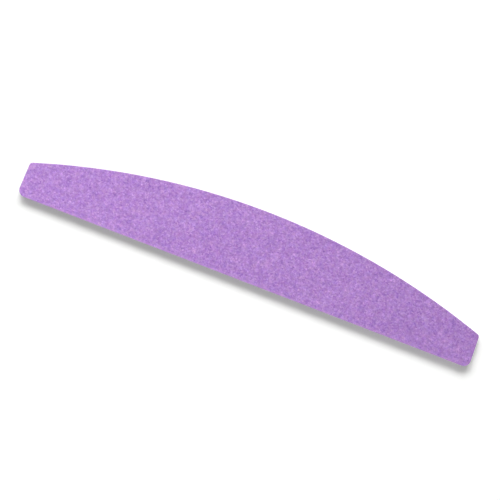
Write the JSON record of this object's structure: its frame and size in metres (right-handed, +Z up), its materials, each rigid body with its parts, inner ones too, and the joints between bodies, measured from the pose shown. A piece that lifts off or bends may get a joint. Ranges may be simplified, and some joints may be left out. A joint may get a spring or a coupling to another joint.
{
  "type": "nail file",
  "caption": "Flat half-moon nail file with a straight and an arched edge: foam on a stiff core, faced on each side with ceramic-grit abrasive paper for shaping nails.",
  "frame": {"origin": "on the underside, below the middle of the outline's box", "axes": "+X along the straight edge, +Y from the straight edge to the crown of the curved edge, +Z up through the layers"},
  "size_m": [0.1778, 0.0272, 0.004],
  "materials": {
    "core_plastic": "matte",
    "adhesive": "satin",
    "foam": "matte",
    "backing_paper": "matte",
    "ceramic_grit": "matte"
  },
  "bodies": {
    "root": {"core_strip": "core_plastic", "upper_core_film": "adhesive", "upper_foam_layer": "foam", "upper_paper_film": "adhesive", "upper_backing_paper": "backing_paper", "upper_grit_coat": "ceramic_grit", "lower_core_film": "adhesive", "lower_foam_layer": "foam", "lower_paper_film": "adhesive", "lower_backing_paper": "backing_paper", "lower_grit_coat": "ceramic_grit"}
  },
  "joints": []
}
